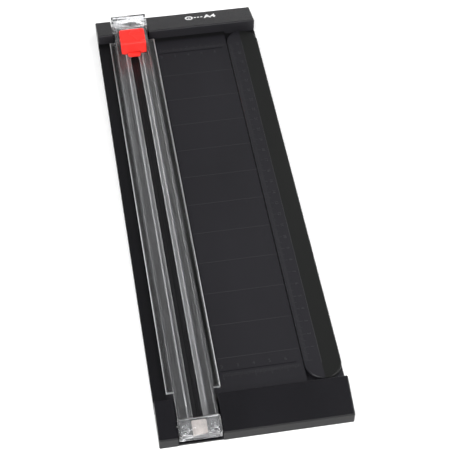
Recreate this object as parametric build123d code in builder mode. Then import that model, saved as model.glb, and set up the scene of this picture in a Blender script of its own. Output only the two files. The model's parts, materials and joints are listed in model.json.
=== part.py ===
from build123d import *
import os

# Rotary paper trimmer with a clear lifting guide rail, a sliding press-to-cut head and a ruler
# that swings out of the deck. Millimetres. X runs across the board, +Y towards the header where
# the rail is hinged, +Z up. The origin is the middle of the footprint, on the table.

# Whole board
BOARD_WIDTH = 119.0
BOARD_LENGTH = 373.0
BASE_BOTTOM = 1.0
DECK_TOP = 8.6
DECK_SKIN = 2.6
DECK_UNDER = DECK_TOP - DECK_SKIN
SKIRT_WALL = 2.0
RIB_WALL = 1.6
RIB_BOTTOM = 2.0
TONGUE_BOTTOM = 3.4
HALF_WIDTH = BOARD_WIDTH / 2
HALF_LENGTH = BOARD_LENGTH / 2
RIB_XS = (-4.0, 16.0)
RIB_SPACING = 54.0
TONGUE_START_Y = 150.0
SCREW_HOLE_R = 1.6

# Clearances, and how far a cut runs past what it cuts
GAP = 0.3
SLIP = 0.1
RUNNING_FIT = 0.05
OVERRUN = 1.0

# Wedge-shaped end caps
CAP_DEPTH = 24.0
CAP_LOW = 9.0
CAP_HIGH = 16.5
CAP_WALL = 2.0
CAP_INNER_Y = HALF_LENGTH - CAP_DEPTH
DECK_END_Y = CAP_INNER_Y - 0.2
CHANNEL_HALF = 13.6
EAR_OUTER = CHANNEL_HALF + CAP_WALL
TONGUE_CUT_Y = HALF_LENGTH - 12.5
CHANNEL_DECK_Y = HALF_LENGTH - 13.7
FINGER_PLATE = (BASE_BOTTOM, 2.2)
TONGUE_END_Y = HALF_LENGTH - CAP_WALL - GAP
CAP_ROUND = 0.8
CAP_RIB = (2.0, 4.0)
CAP_RIB_GAP = 0.2
SCREW_XS = (-53.7, -10.0, 20.0, 52.0)
SCREW_Y = CAP_INNER_Y + 6.5
SCREW_HEAD_R = 2.6
SCREW_BODY_R = 1.25
PILOT_R = 1.2
BOSS_R = 3.0
BOSS_TOP = 12.0
PILOT_END = 1.5
SCREW_END = 2.0
SCREW_HEAD_DEPTH = 1.6
SCREW_SLOT = (4.0, 0.6)
SCREW_SLOT_TOP = 1.0
SCREW_ROUND = 0.7

# Cutting strip and deck markings
STRIP_HALF = 4.0
STRIP_DEPTH = 2.0
STRIP_RIM = 2.0
STRIP_END_GAP = 0.5
BLADE_GROOVE = (0.8, 0.6)
INCH = 25.4
FIRST_LINE_Y = -133.3
LINE_COUNT = 11
LINE_SIZE = (0.45, 0.06)
GROOVE_YS = (-143.2, 144.7)
GROOVE_SIZE = (1.0, 0.4)
GROOVE_MARGINS = (2.0, 4.0)
LINE_MARGINS = (1.0, 1.5)

# Clear guide rail
RAIL_X = -34.3
RAIL_BOTTOM = 9.2
FLANGE_HALF = 16.7
FLANGE_TOP = 11.0
BEAD_WIDTH = 0.9
BEAD_TOP = 11.5
DRAWN_LINES = (7.6, 9.3)
DRAWN_LINE_HALF = 0.3
DRAWN_LINE_TOP = 11.35
TRACK_HALF = 12.3
TRACK_WALL = 1.4
TRACK_TOP = 14.0
SLOT_HALF = 3.1
LIP_HALF = 6.4
LIP_TOP = 12.2
FOOT_CAVITY_HALF = 5.6
FOOT_CAVITY_TOP = 10.6
FLANGE_FRONT_Y = -154.5
FLANGE_REAR_Y = 159.4
TRACK_FRONT_Y = -176.1
TRACK_REAR_Y = 173.3
TENON = (5.8, 10.4)
TENON_TOP = 10.2
TENON_LENGTH = 6.6
STOP_LENGTH = 1.0
STOP_BITE = 0.5
GRIP_STRIP = (13.4, 15.8)
GRIP_STRIP_BOTTOM = 8.75
GRIP_STRIP_MARGIN = 2.0

# Rail end housings and the hinge
HOUSING_HALF = 13.0
HOUSING_BOTTOM = 4.7
HOUSING_WALL = 1.4
HOUSING_SCREW_X = 8.0
HOUSING_SCREW_R = 0.95
HOUSING_SCREW_HEAD_R = 1.8
HOUSING_SCREW_HEAD = 0.9
HOUSING_FLOOR = HOUSING_BOTTOM + 1.7
REAR_SCREW_SEAT = 7.5
HOUSING_FRONT_Y = -HALF_LENGTH + 0.2
HOUSING_REAR_Y = HALF_LENGTH - 0.5
HOUSING_LOW = 10.6
HOUSING_INSIDE_LOW = HOUSING_LOW - 1.0
FRONT_SCREW_SEAT = HOUSING_BOTTOM + 1.0
HOUSING_HIGH = 13.9
REAR_HOUSING_BOTTOM = 7.0
FRONT_SCREW_Y = -181.4
REAR_SCREW_Y = 176.2
HINGE_Y = 180.5
HINGE_Z = 6.5
HINGE_PIN_R = 1.5
HINGE_BARREL_R = 4.3
HINGE_PIN_CHAMFER = 0.3
HOUSING_ROUND = 0.7
HOUSING_BOSS_R = 2.3
HOUSING_HOLE_R = 1.0
HEAD_CLEARANCE = 0.2
TAB_HALF = 4.5
TAB_TOP = 9.5
TAB_STEP_Y = -184.9
TAB_REAR = (-177.2, 12.0)
TAB_WINDOW = (3.0, 9.7)
TAB_ROUND = 0.6

# Sliding head
HEAD_HALF = 9.2
HEAD_FRONT_Y = 142.8
HEAD_REAR_Y = 162.0
HEAD_BOTTOM = 14.2
HEAD_TOP = 24.0
HEAD_SADDLE = 2.0
HEAD_WALL = 1.2
HEAD_CORNER = 4.0
HEAD_PLAN = 30.0
HEAD_MID_Y = (HEAD_FRONT_Y + HEAD_REAR_Y) / 2
BLADE_R = 5.5
BLADE_THICKNESS = 0.35
BLADE_BEVEL = 0.9
BLADE_EDGE = 0.03
BLADE_Z = 15.6
AXLE_R = 1.0
AXLE_HALF = 4.2
AXLE_CHAMFER = 0.2
YOKE_WELL = (4.6, 3.4)
YOKE_WELL_BOTTOM = 11.6
YOKE_TOP = 20.2
YOKE_CHEEK = (1.9, 3.3)
YOKE_PLATE_LENGTH = 12.8
YOKE_CHEEK_LENGTH = 6.0
BLADE_SLIT = (0.8, 11.6)
CLIP = (3.35, 3.9)
CLIP_R = 1.45
CLIP_MOUTH = 1.2
HUB = (BLADE_THICKNESS / 2, 1.7)
HUB_R = 2.0
RUNNER_FOOT_HALF = 5.0
RUNNER_FOOT = (9.45, 10.4)
RUNNER_PLATE_HALF = 7.6
RUNNER_PLATE_BOTTOM = 12.4
RUNNER_END_GAP = 1.5
RUNNER_SIDE_GAP = 0.2
RUNNER_SLIT = (0.7, 14.4)
TONGUE_HALF = 4.55
TONGUE_LENGTH = 7.0
TONGUE_REACH = 1.9
TONGUE_CORNER = 1.8
TONGUE_TOP = 13.4
TONGUE_NOTCH = 1.3
SPRING_X = 5.6
SPRING_DY = 4.9
SPRING_BOTTOM = 14.0
SPRING_TOP = 19.2
SPRING_WIRE_R = 0.25
SPRING_COIL_R = 1.35
SPRING_PITCH = 1.2
SPRING_POST = (1.0, 2.5)

# Swing-out ruler
RULER_X = 47.8
RULER_HALF = 11.5
RULER_REAR_Y = 148.5
RULER_FRONT_Y = -146.5
RULER_BOTTOM = 6.1
RULER_TOP = 9.6
RULER_CHAMFER = 0.5
SHELF_TOP = 5.9
SHELF_UNDER = 3.3
SHELF_X = 35.9
SHELF_CUT_Y = 140.0
PIVOT_R = 4.0
PIVOT_BOTTOM = 2.9
PIVOT_HOLE_END = 1.2
PIVOT_SCREW_END = 1.8
WASHER_R = 6.0
WASHER_HOLE_R = 1.4
WASHER_THICKNESS = 0.8
SCREW_HEAD_HEIGHT = 0.9

# Feet
FOOT_R = 5.0
FOOT_X = 50.0
FOOT_Y = 132.0
FOOT_TOP = 2.0
FOOT_ROUND = 0.6
FOOT_SOCKET_WALL = 1.5
FOOT_SOCKET_BOTTOM = 1.3

PARTS_DIR = "parts"


def save(builder, name):
    """Label a finished piece and write it as its own STEP file."""
    builder.part.label = name
    export_step(builder.part, f"{PARTS_DIR}/{name}.step")


def block(x_range, y_range, z_range, mode=Mode.ADD):
    """An upright block between two x, two y and two z values, in the current part."""
    width = x_range[1] - x_range[0]
    length = y_range[1] - y_range[0]
    height = z_range[1] - z_range[0]
    middle = ((x_range[0] + x_range[1]) / 2, (y_range[0] + y_range[1]) / 2)
    with BuildSketch(Plane.XY.offset(z_range[0])) as footprint:
        with Locations(middle):
            Rectangle(width, length)
    extrude(footprint.sketch, amount=height, mode=mode)


def discs(points, radius, z_range, mode=Mode.ADD):
    """Upright cylinders of one radius on a list of x, y points, in the current part."""
    with BuildSketch(Plane.XY.offset(z_range[0])) as footprint:
        with Locations(*points):
            Circle(radius)
    extrude(footprint.sketch, amount=z_range[1] - z_range[0], mode=mode)


def around_rail(half_width):
    """The x range of a band of this half width centred on the rail."""
    return (RAIL_X - half_width, RAIL_X + half_width)


def centred(middle, width):
    """The range of a band of this width about a middle value."""
    return (middle - width / 2, middle + width / 2)


def mirrored(sign, inner, outer):
    """The x range between two distances from the rail's middle, left (-1) or right (+1)."""
    return sorted((RAIL_X + sign * inner, RAIL_X + sign * outer))


def end_range(side, inner, outer):
    """A y range between two distances from the middle, at the front (-1) or rear (+1) end."""
    return tuple(sorted((side * inner, side * outer)))


def make_base_board():
    """Deck moulding: skin, ruler shelf, skirts, ribs, end tongues and foot sockets."""
    deck = (-DECK_END_Y, DECK_END_Y)
    strip_bed = (-CHANNEL_DECK_Y, CHANNEL_DECK_Y)
    screw_points = [(x, side * SCREW_Y) for x in SCREW_XS for side in (-1, 1)]
    foot_points = [(x, y) for x in (-FOOT_X, FOOT_X) for y in (-FOOT_Y, FOOT_Y)]
    with BuildPart() as base_board:
        block((-HALF_WIDTH, SHELF_X), deck, (DECK_UNDER, DECK_TOP))
        block((SHELF_X - SKIRT_WALL, HALF_WIDTH), deck, (SHELF_UNDER, SHELF_TOP))
        block((SHELF_X - SKIRT_WALL, SHELF_X), deck, (SHELF_UNDER, DECK_TOP))
        for edge in (-HALF_WIDTH, HALF_WIDTH - SKIRT_WALL):
            block((edge, edge + SKIRT_WALL), deck, (BASE_BOTTOM, SHELF_TOP))
        block((-HALF_WIDTH, -HALF_WIDTH + SKIRT_WALL), deck, (BASE_BOTTOM, DECK_TOP))
        block(around_rail(STRIP_HALF + STRIP_RIM), deck, (TONGUE_BOTTOM, DECK_TOP))
        block(around_rail(CHANNEL_HALF - GAP), strip_bed, (DECK_UNDER, DECK_TOP))
        for x in (*RIB_XS, RAIL_X + CHANNEL_HALF):
            block((x, x + RIB_WALL), deck, (RIB_BOTTOM, DECK_UNDER))
        for row in range(-2, 3):
            y = row * RIB_SPACING
            block((-HALF_WIDTH, SHELF_X), (y, y + RIB_WALL), (RIB_BOTTOM, DECK_UNDER))
            block((SHELF_X, HALF_WIDTH), (y, y + RIB_WALL), (RIB_BOTTOM, SHELF_UNDER))
        for side in (-1, 1):
            tongue_x = (-HALF_WIDTH + CAP_WALL + GAP, HALF_WIDTH - CAP_WALL - GAP)
            block(tongue_x, end_range(side, TONGUE_START_Y, TONGUE_END_Y), (TONGUE_BOTTOM, DECK_UNDER))
            channel_end = end_range(side, TONGUE_CUT_Y, HALF_LENGTH)
            block(around_rail(EAR_OUTER + GAP), channel_end, (0, DECK_TOP), Mode.SUBTRACT)
            block((SHELF_X, HALF_WIDTH), end_range(side, SHELF_CUT_Y, DECK_END_Y),
                  (SHELF_TOP, DECK_TOP), Mode.SUBTRACT)
        for x in (-FOOT_X, FOOT_X):
            for y in (-FOOT_Y, FOOT_Y):
                socket_top = SHELF_UNDER if x > 0 else DECK_UNDER
                discs([(x, y)], FOOT_R + FOOT_SOCKET_WALL, (FOOT_SOCKET_BOTTOM, socket_top))
        discs(foot_points, FOOT_R + SLIP, (0, FOOT_TOP), Mode.SUBTRACT)
        hole_z = (TONGUE_BOTTOM - OVERRUN, DECK_UNDER + OVERRUN)
        discs(screw_points, SCREW_HOLE_R, hole_z, Mode.SUBTRACT)
        discs([(RULER_X, RULER_REAR_Y)], PIVOT_R + RUNNING_FIT, (0, DECK_TOP), Mode.SUBTRACT)
        block(around_rail(STRIP_HALF), strip_bed, (DECK_TOP - STRIP_DEPTH, DECK_TOP), Mode.SUBTRACT)
        rail_edge = RAIL_X + FLANGE_HALF
        groove_x = (rail_edge + GROOVE_MARGINS[0], SHELF_X - GROOVE_MARGINS[1])
        for y in GROOVE_YS:
            block(groove_x, centred(y, GROOVE_SIZE[0]),
                  (DECK_TOP - GROOVE_SIZE[1], DECK_TOP), Mode.SUBTRACT)
        line_x = (rail_edge + LINE_MARGINS[0], SHELF_X - LINE_MARGINS[1])
        for index in range(LINE_COUNT):
            y = FIRST_LINE_Y + index * INCH
            block(line_x, centred(y, LINE_SIZE[0]), (DECK_TOP, DECK_TOP + LINE_SIZE[1]))
    return base_board


def wedge_profile(side, inset):
    """Side outline of an end cap: low at the outer end, high at its inner face."""
    outer = HALF_LENGTH - inset
    inner = CAP_INNER_Y + inset
    slope = (CAP_HIGH - CAP_LOW) / CAP_DEPTH
    low = CAP_LOW + slope * inset - inset
    high = CAP_HIGH - slope * inset - inset
    return [
        (side * outer, BASE_BOTTOM),
        (side * outer, low),
        (side * inner, high),
        (side * inner, BASE_BOTTOM),
    ]


def make_end_cap(side):
    """Hollow wedge cap that slides over a tongue of the board, split by the rail's channel."""
    inner_span = end_range(side, CAP_INNER_Y, CAP_INNER_Y + CAP_WALL)
    under_deck = (0, DECK_UNDER + SLIP)
    cavity = Plane.YZ.offset(-HALF_WIDTH + CAP_WALL)
    channel_walls = around_rail(EAR_OUTER)
    with BuildPart() as end_cap:
        with BuildSketch(Plane.YZ.offset(-HALF_WIDTH)):
            with BuildLine():
                Polyline(*wedge_profile(side, 0.0), close=True)
            make_face()
        extrude(amount=BOARD_WIDTH)
        top_edges = end_cap.edges().filter_by(Axis.X).sort_by(Axis.Z)[-2:]
        fillet(top_edges, radius=CAP_ROUND)
        outer_corners = end_cap.edges().filter_by(Axis.Z).group_by(Axis.Y)
        fillet(outer_corners[0 if side < 0 else -1], radius=CAP_ROUND)
        with BuildSketch(cavity):
            with BuildLine():
                Polyline(*wedge_profile(side, CAP_WALL), close=True)
            make_face()
        extrude(amount=BOARD_WIDTH - 2 * CAP_WALL, mode=Mode.SUBTRACT)
        block((-HALF_WIDTH - OVERRUN, HALF_WIDTH + OVERRUN), inner_span, under_deck, Mode.SUBTRACT)
        with BuildSketch(Plane.YZ.offset(channel_walls[0])):
            with BuildLine():
                Polyline(*wedge_profile(side, CAP_WALL / 2), close=True)
            make_face()
        extrude(amount=channel_walls[1] - channel_walls[0])
        wall_foot = end_range(side, CAP_INNER_Y, TONGUE_CUT_Y + GAP)
        block(channel_walls, wall_foot, under_deck, Mode.SUBTRACT)
        channel = end_range(side, CAP_INNER_Y - OVERRUN, HALF_LENGTH + OVERRUN)
        block(around_rail(CHANNEL_HALF), channel, (0, CAP_HIGH + OVERRUN), Mode.SUBTRACT)
        for x in SCREW_XS:
            discs([(x, side * SCREW_Y)], BOSS_R, (DECK_UNDER + SLIP, BOSS_TOP))
            discs([(x, side * SCREW_Y)], PILOT_R, (DECK_UNDER, BOSS_TOP - PILOT_END), Mode.SUBTRACT)
        rib_y = end_range(side, CAP_INNER_Y + CAP_RIB[0], CAP_INNER_Y + CAP_RIB[1])
        block((-HALF_WIDTH + CAP_WALL / 2, HALF_WIDTH - CAP_WALL / 2), rib_y,
              (BASE_BOTTOM + CAP_RIB_GAP, TONGUE_BOTTOM - CAP_RIB_GAP))
        if side < 0:
            plate_y = (-HALF_LENGTH + GAP, -TONGUE_CUT_Y - GAP)
            block(around_rail(EAR_OUTER - CAP_WALL / 4), plate_y, FINGER_PLATE)
        if side > 0:
            with BuildSketch(Plane.YZ.offset(RAIL_X - EAR_OUTER)):
                with Locations((HINGE_Y, HINGE_Z)):
                    Circle(HINGE_PIN_R)
            extrude(amount=2 * EAR_OUTER, mode=Mode.SUBTRACT)
    return end_cap


def make_end_cap_screws():
    """Eight pan-head screws up through the tongues into the end caps' bosses."""
    points = [(x, side * SCREW_Y) for x in SCREW_XS for side in (-1, 1)]
    with BuildPart() as end_cap_screws:
        discs(points, SCREW_HEAD_R, (TONGUE_BOTTOM - SCREW_HEAD_DEPTH, TONGUE_BOTTOM))
        discs(points, SCREW_BODY_R, (TONGUE_BOTTOM, BOSS_TOP - SCREW_END))
        fillet(end_cap_screws.edges().group_by(Axis.Z)[0], radius=SCREW_ROUND)
        for x, y in points:
            block(centred(x, SCREW_SLOT[0]), centred(y, SCREW_SLOT[1]),
                  (0, TONGUE_BOTTOM - SCREW_SLOT_TOP), Mode.SUBTRACT)
    return end_cap_screws


def make_cutting_strip():
    """Replaceable strip let into the deck, with the blade's groove along its middle."""
    ends = (-CHANNEL_DECK_Y + STRIP_END_GAP, CHANNEL_DECK_Y - STRIP_END_GAP)
    with BuildPart() as cutting_strip:
        block(around_rail(STRIP_HALF - SLIP), ends, (DECK_TOP - STRIP_DEPTH, DECK_TOP))
        block(around_rail(BLADE_GROOVE[0] / 2), ends,
              (DECK_TOP - BLADE_GROOVE[1], DECK_TOP), Mode.SUBTRACT)
    return cutting_strip


def make_hinge_pin():
    """Steel pin across the header's channel, pressed into both channel walls."""
    with BuildPart() as hinge_pin:
        with BuildSketch(Plane.YZ.offset(RAIL_X - EAR_OUTER)):
            with Locations((HINGE_Y, HINGE_Z)):
                Circle(HINGE_PIN_R)
        extrude(amount=2 * EAR_OUTER)
        chamfer(hinge_pin.edges().filter_by(GeomType.CIRCLE), length=HINGE_PIN_CHAMFER)
    return hinge_pin


def make_foot(x, y):
    """Round rubber foot pressed into a socket under the board."""
    with BuildPart() as foot:
        discs([(x, y)], FOOT_R, (0, FOOT_TOP))
        fillet(foot.edges().group_by(Axis.Z)[0], radius=FOOT_ROUND)
    return foot


def make_guide_rail():
    """Clear extrusion: gripping flanges, a walled track and the slot that the head runs in."""
    flange_y = (FLANGE_FRONT_Y, FLANGE_REAR_Y)
    track_y = (TRACK_FRONT_Y, TRACK_REAR_Y)
    tenon_y = (TRACK_FRONT_Y - TENON_LENGTH, TRACK_REAR_Y + TENON_LENGTH)
    whole_y = (-HALF_LENGTH, HALF_LENGTH)
    with BuildPart() as guide_rail:
        block(around_rail(TRACK_HALF), track_y, (RAIL_BOTTOM, FLANGE_TOP))
        block(around_rail(FLANGE_HALF), flange_y, (RAIL_BOTTOM, FLANGE_TOP))
        block(around_rail(LIP_HALF), track_y, (RAIL_BOTTOM, LIP_TOP))
        for sign in (-1, 1):
            wall = mirrored(sign, TRACK_HALF - TRACK_WALL, TRACK_HALF)
            block(wall, track_y, (RAIL_BOTTOM, TRACK_TOP))
            bead = mirrored(sign, FLANGE_HALF - BEAD_WIDTH, FLANGE_HALF)
            block(bead, flange_y, (RAIL_BOTTOM, BEAD_TOP))
            for distance in DRAWN_LINES:
                line = mirrored(sign, distance - DRAWN_LINE_HALF, distance + DRAWN_LINE_HALF)
                block(line, track_y, (FLANGE_TOP, DRAWN_LINE_TOP))
            block(mirrored(sign, *TENON), tenon_y, (RAIL_BOTTOM, TENON_TOP))
        block(around_rail(SLOT_HALF), whole_y, (0, LIP_TOP + OVERRUN), Mode.SUBTRACT)
        block(around_rail(FOOT_CAVITY_HALF), whole_y, (0, FOOT_CAVITY_TOP), Mode.SUBTRACT)
        for y in (TRACK_FRONT_Y, TRACK_REAR_Y - STOP_LENGTH):
            block(around_rail(SLOT_HALF + STOP_BITE), (y, y + STOP_LENGTH), (FOOT_CAVITY_TOP, LIP_TOP))
        for y in (FRONT_SCREW_Y, REAR_SCREW_Y):
            points = [(RAIL_X + sign * HOUSING_SCREW_X, y) for sign in (-1, 1)]
            discs(points, HOUSING_SCREW_R - RUNNING_FIT, (RAIL_BOTTOM, FLANGE_TOP), Mode.SUBTRACT)
    return guide_rail


def make_front_housing():
    """Clear end piece of the rail over the finger recess, open towards the rail."""
    rear = TRACK_FRONT_Y - SLIP
    screws = [(RAIL_X + sign * HOUSING_SCREW_X, FRONT_SCREW_Y) for sign in (-1, 1)]
    outline = [
        (HOUSING_FRONT_Y, HOUSING_BOTTOM),
        (HOUSING_FRONT_Y, HOUSING_LOW),
        (rear, HOUSING_HIGH),
        (rear, HOUSING_BOTTOM),
    ]
    inside = [
        (HOUSING_FRONT_Y + HOUSING_WALL, HOUSING_FLOOR),
        (HOUSING_FRONT_Y + HOUSING_WALL, HOUSING_INSIDE_LOW),
        (rear, HOUSING_HIGH - HOUSING_WALL),
        (rear, HOUSING_FLOOR),
    ]
    with BuildPart() as front_housing:
        with BuildSketch(Plane.YZ.offset(RAIL_X - HOUSING_HALF)):
            with BuildLine():
                Polyline(*outline, close=True)
            make_face()
        extrude(amount=2 * HOUSING_HALF)
        fillet(front_housing.edges().filter_by(Axis.X).group_by(Axis.Y)[0], radius=HOUSING_ROUND)
        with BuildSketch(Plane.YZ.offset(RAIL_X - HOUSING_HALF + HOUSING_WALL)):
            with BuildLine():
                Polyline(*inside, close=True)
            make_face()
        extrude(amount=2 * (HOUSING_HALF - HOUSING_WALL), mode=Mode.SUBTRACT)
        window_y = (HOUSING_FRONT_Y - OVERRUN, HOUSING_FRONT_Y + TAB_WINDOW[0])
        block(around_rail(TAB_HALF + SLIP), window_y, (HOUSING_FLOOR, TAB_WINDOW[1]), Mode.SUBTRACT)
        discs(screws, HOUSING_BOSS_R, (HOUSING_FLOOR, RAIL_BOTTOM - RUNNING_FIT))
        discs(screws, HOUSING_HOLE_R, (HOUSING_BOTTOM, RAIL_BOTTOM), Mode.SUBTRACT)
        head_room = HOUSING_SCREW_HEAD_R + HEAD_CLEARANCE
        discs(screws, head_room, (HOUSING_BOTTOM, FRONT_SCREW_SEAT), Mode.SUBTRACT)
    return front_housing


def make_lift_tab():
    """Nylon block in the front housing that the fingertip lifts the rail by."""
    front = HOUSING_FRONT_Y + SLIP
    bottom = HOUSING_FLOOR + RUNNING_FIT
    outline = [
        (front, bottom),
        (front, TAB_TOP),
        (TAB_STEP_Y, TAB_TOP),
        TAB_REAR,
        (TAB_REAR[0], bottom),
    ]
    with BuildPart() as lift_tab:
        with BuildSketch(Plane.YZ.offset(RAIL_X - TAB_HALF)):
            with BuildLine():
                Polyline(*outline, close=True)
            make_face()
        extrude(amount=2 * TAB_HALF)
        fillet(lift_tab.edges().filter_by(Axis.Z), radius=TAB_ROUND)
    return lift_tab


def make_rear_housing():
    """Clear hinge block at the rear end of the rail, turning on the hinge pin."""
    front = TRACK_REAR_Y + SLIP
    screws = [(RAIL_X + sign * HOUSING_SCREW_X, REAR_SCREW_Y) for sign in (-1, 1)]
    with BuildPart() as rear_housing:
        block(around_rail(HOUSING_HALF), (front, HOUSING_REAR_Y), (REAR_HOUSING_BOTTOM, TRACK_TOP))
        fillet(rear_housing.edges().filter_by(Axis.X).group_by(Axis.Y)[-1], radius=HOUSING_ROUND)
        with BuildSketch(Plane.YZ.offset(RAIL_X - HOUSING_HALF)):
            with Locations((HINGE_Y, HINGE_Z)):
                Circle(HINGE_BARREL_R)
        extrude(amount=2 * HOUSING_HALF)
        block(around_rail(HOUSING_HALF - HOUSING_WALL), (front, HOUSING_REAR_Y - HOUSING_WALL),
              (RAIL_BOTTOM - RUNNING_FIT, TRACK_TOP - HOUSING_WALL), Mode.SUBTRACT)
        with BuildSketch(Plane.YZ.offset(RAIL_X - HOUSING_HALF)):
            with Locations((HINGE_Y, HINGE_Z)):
                Circle(HINGE_PIN_R + RUNNING_FIT)
        extrude(amount=2 * HOUSING_HALF, mode=Mode.SUBTRACT)
        discs(screws, HOUSING_HOLE_R, (REAR_HOUSING_BOTTOM - OVERRUN, RAIL_BOTTOM), Mode.SUBTRACT)
        head_room = HOUSING_SCREW_HEAD_R + HEAD_CLEARANCE
        discs(screws, head_room, (0, REAR_SCREW_SEAT), Mode.SUBTRACT)
    return rear_housing


def make_housing_screws():
    """Four small screws that hold the two housings to the rail's tenons."""
    with BuildPart() as housing_screws:
        for y, seat in ((FRONT_SCREW_Y, FRONT_SCREW_SEAT), (REAR_SCREW_Y, REAR_SCREW_SEAT)):
            for sign in (-1, 1):
                point = [(RAIL_X + sign * HOUSING_SCREW_X, y)]
                discs(point, HOUSING_SCREW_HEAD_R, (seat - HOUSING_SCREW_HEAD, seat))
                discs(point, HOUSING_SCREW_R, (seat, TENON_TOP + GAP))
    return housing_screws


def make_grip_strip(sign):
    """Soft strip under one flange of the rail that holds the paper."""
    ends = (FLANGE_FRONT_Y + GRIP_STRIP_MARGIN, FLANGE_REAR_Y - GRIP_STRIP_MARGIN)
    with BuildPart() as grip_strip:
        block(mirrored(sign, *GRIP_STRIP), ends, (GRIP_STRIP_BOTTOM, RAIL_BOTTOM))
    return grip_strip


def make_carriage():
    """Runner of the head: a T foot under the slot's lips, a stem and a plate above them."""
    ends = (HEAD_FRONT_Y + RUNNER_END_GAP, HEAD_REAR_Y - RUNNER_END_GAP)
    spring_ys = (HEAD_MID_Y - SPRING_DY, HEAD_MID_Y + SPRING_DY)
    springs = [(RAIL_X + sign * SPRING_X, y) for sign in (-1, 1) for y in spring_ys]
    tongue_y = HEAD_FRONT_Y - TONGUE_REACH + TONGUE_LENGTH / 2
    well_y = centred(HEAD_MID_Y, 2 * YOKE_WELL[1])
    with BuildPart() as carriage:
        block(around_rail(RUNNER_FOOT_HALF), ends, RUNNER_FOOT)
        block(around_rail(SLOT_HALF - RUNNER_SIDE_GAP), ends, (RUNNER_FOOT[0], RUNNER_PLATE_BOTTOM))
        block(around_rail(RUNNER_PLATE_HALF), ends, (RUNNER_PLATE_BOTTOM, SPRING_BOTTOM))
        with BuildSketch(Plane.XY.offset(RUNNER_PLATE_BOTTOM)):
            with Locations((RAIL_X, tongue_y)):
                RectangleRounded(2 * TONGUE_HALF, TONGUE_LENGTH, TONGUE_CORNER)
        extrude(amount=TONGUE_TOP - RUNNER_PLATE_BOTTOM)
        slit_y = centred(HEAD_MID_Y, RUNNER_SLIT[1])
        block(around_rail(RUNNER_SLIT[0]), slit_y, (0, SPRING_BOTTOM), Mode.SUBTRACT)
        block(around_rail(YOKE_WELL[0]), well_y, (YOKE_WELL_BOTTOM, SPRING_BOTTOM), Mode.SUBTRACT)
        discs(springs, SPRING_POST[0], (SPRING_BOTTOM, SPRING_BOTTOM + SPRING_POST[1]))
    return carriage


def make_press_springs():
    """Four coil springs that hold the pressed head up."""
    foot_z = SPRING_BOTTOM + SPRING_WIRE_R + RUNNING_FIT
    height = SPRING_TOP - RUNNING_FIT - SPRING_WIRE_R - foot_z
    with BuildPart() as press_springs:
        for x in (RAIL_X - SPRING_X, RAIL_X + SPRING_X):
            for y in (HEAD_MID_Y - SPRING_DY, HEAD_MID_Y + SPRING_DY):
                with BuildLine() as path:
                    Helix(pitch=SPRING_PITCH, height=height, radius=SPRING_COIL_R, center=(x, y, foot_z))
                with BuildSketch(Plane(path.line ^ 0)):
                    Circle(SPRING_WIRE_R)
                sweep(path=path.line, is_frenet=True)
    return press_springs


def head_outline(shrink):
    """Side outline of the head: front crest, finger saddle and rounded back."""
    front = HEAD_FRONT_Y + shrink
    rear = HEAD_REAR_Y - shrink
    top = HEAD_TOP - shrink
    front_shoulder = (front + 0.5, top - 1.5)
    rear_shoulder = (rear, top - 5.0)
    with BuildLine() as outline:
        Polyline(rear_shoulder, (rear, HEAD_BOTTOM), (front, HEAD_BOTTOM), front_shoulder)
        Spline(
            front_shoulder,
            (HEAD_FRONT_Y + 2.2, top - 0.1),
            (HEAD_FRONT_Y + 6.2, top - HEAD_SADDLE),
            (HEAD_FRONT_Y + 12.6, top - 0.5),
            rear_shoulder,
            tangents=[(0.3, 1.0), (1.0, -0.1), (1.0, 0.05), (1.0, -0.15), (0.0, -1.0)],
        )
    return outline.line


def make_cutter_cap():
    """Red pressed cap of the head, a hollow shell over the runner and blade."""
    with BuildPart() as cutter_cap:
        with BuildSketch(Plane.YZ.offset(RAIL_X - HEAD_HALF)):
            add(head_outline(0.0))
            make_face()
        extrude(amount=2 * HEAD_HALF)
        with BuildSketch(Plane.XY.offset(HEAD_BOTTOM)):
            with Locations((RAIL_X, HEAD_REAR_Y - HEAD_PLAN / 2)):
                RectangleRounded(2 * HEAD_HALF, HEAD_PLAN, HEAD_CORNER)
        extrude(amount=HEAD_TOP, mode=Mode.INTERSECT)
        with BuildSketch(Plane.YZ.offset(RAIL_X - HEAD_HALF + HEAD_WALL)):
            add(head_outline(HEAD_WALL))
            make_face()
        extrude(amount=2 * (HEAD_HALF - HEAD_WALL), mode=Mode.SUBTRACT)
        block(around_rail(TONGUE_HALF + GAP), (HEAD_FRONT_Y - OVERRUN, HEAD_FRONT_Y + 2 * HEAD_WALL),
              (HEAD_BOTTOM, HEAD_BOTTOM + TONGUE_NOTCH), Mode.SUBTRACT)
    return cutter_cap


def make_blade_holder():
    """Yoke inside the cap that carries the blade's axle."""
    plate_x = around_rail(HEAD_HALF - HEAD_WALL - RUNNING_FIT)
    with BuildPart() as blade_holder:
        block(plate_x, centred(HEAD_MID_Y, YOKE_PLATE_LENGTH), (SPRING_TOP, YOKE_TOP))
        for sign in (-1, 1):
            cheek = mirrored(sign, *YOKE_CHEEK)
            block(cheek, centred(HEAD_MID_Y, YOKE_CHEEK_LENGTH), (HEAD_BOTTOM, SPRING_TOP))
        slit_y = centred(HEAD_MID_Y, BLADE_SLIT[1])
        block(around_rail(BLADE_SLIT[0]), slit_y, (0, YOKE_TOP), Mode.SUBTRACT)
        with BuildSketch(Plane.YZ.offset(RAIL_X - HEAD_HALF)):
            with Locations((HEAD_MID_Y, BLADE_Z)):
                Circle(AXLE_R)
        extrude(amount=2 * HEAD_HALF, mode=Mode.SUBTRACT)
    return blade_holder


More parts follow.
